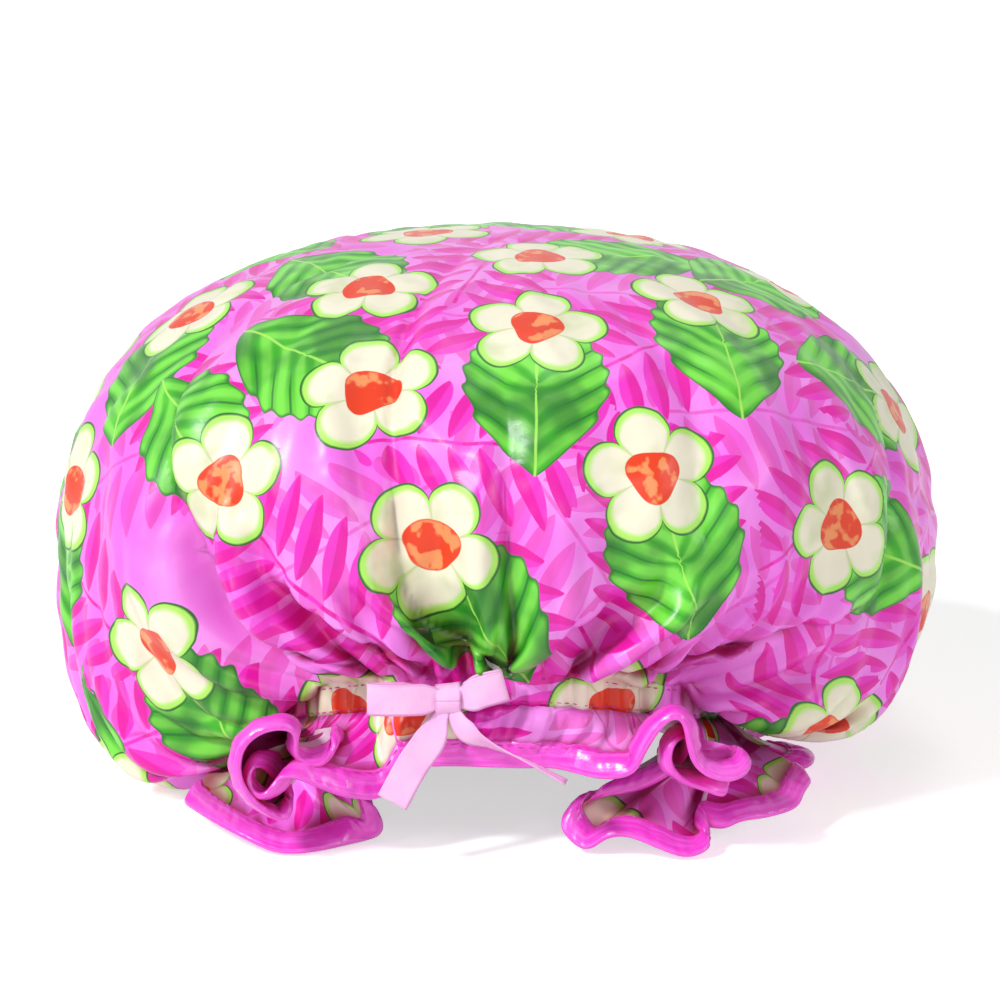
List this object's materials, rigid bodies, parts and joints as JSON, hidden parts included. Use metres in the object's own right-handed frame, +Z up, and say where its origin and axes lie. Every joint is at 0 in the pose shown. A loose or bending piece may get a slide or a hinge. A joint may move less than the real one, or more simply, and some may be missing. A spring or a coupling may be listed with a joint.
{
  "type": "shower cap",
  "caption": "Puffed bouffant shower cap of printed satin with a gathered, bound frill and a small ribbon bow.",
  "frame": {"origin": "on the ground under the middle of the cap's outline box", "axes": "+Z up, the bow and the raised front of the frill face -Y, +X to the right seen from the front"},
  "size_m": [0.2914, 0.2768, 0.173],
  "materials": {
    "printed_satin": "satin",
    "binding_satin": "satin",
    "pink_thread": "matte",
    "lining_film": "satin",
    "elastic_weave": "matte",
    "casing_tape": "matte",
    "bow_ribbon": "satin"
  },
  "bodies": {
    "cap": {"crown_satin": "printed_satin", "frill_satin": "printed_satin", "hem_binding": "binding_satin", "binding_thread": "pink_thread", "waterproof_lining": "lining_film", "elastic_band": "elastic_weave", "casing_tape": "casing_tape", "casing_thread_upper": "pink_thread", "casing_thread_lower": "pink_thread", "bow_tack_thread": "pink_thread", "bow_knot": "bow_ribbon", "bow_loop_left": "bow_ribbon", "bow_loop_right": "bow_ribbon"},
    "left_tail": {"bow_tail_left": "bow_ribbon"},
    "right_tail": {"bow_tail_right": "bow_ribbon"}
  },
  "joints": [
    {"name": "left_tail_lift", "type": "hinge", "parent": "cap", "child": "left_tail", "pos_m": [-0.01701, -0.12341, 0.04586], "axis": [-1, 0, 0], "range_deg": [0, 80]},
    {"name": "right_tail_lift", "type": "hinge", "parent": "cap", "child": "right_tail", "pos_m": [-0.01101, -0.12341, 0.04586], "axis": [-1, 0, 0], "range_deg": [0, 80]}
  ]
}
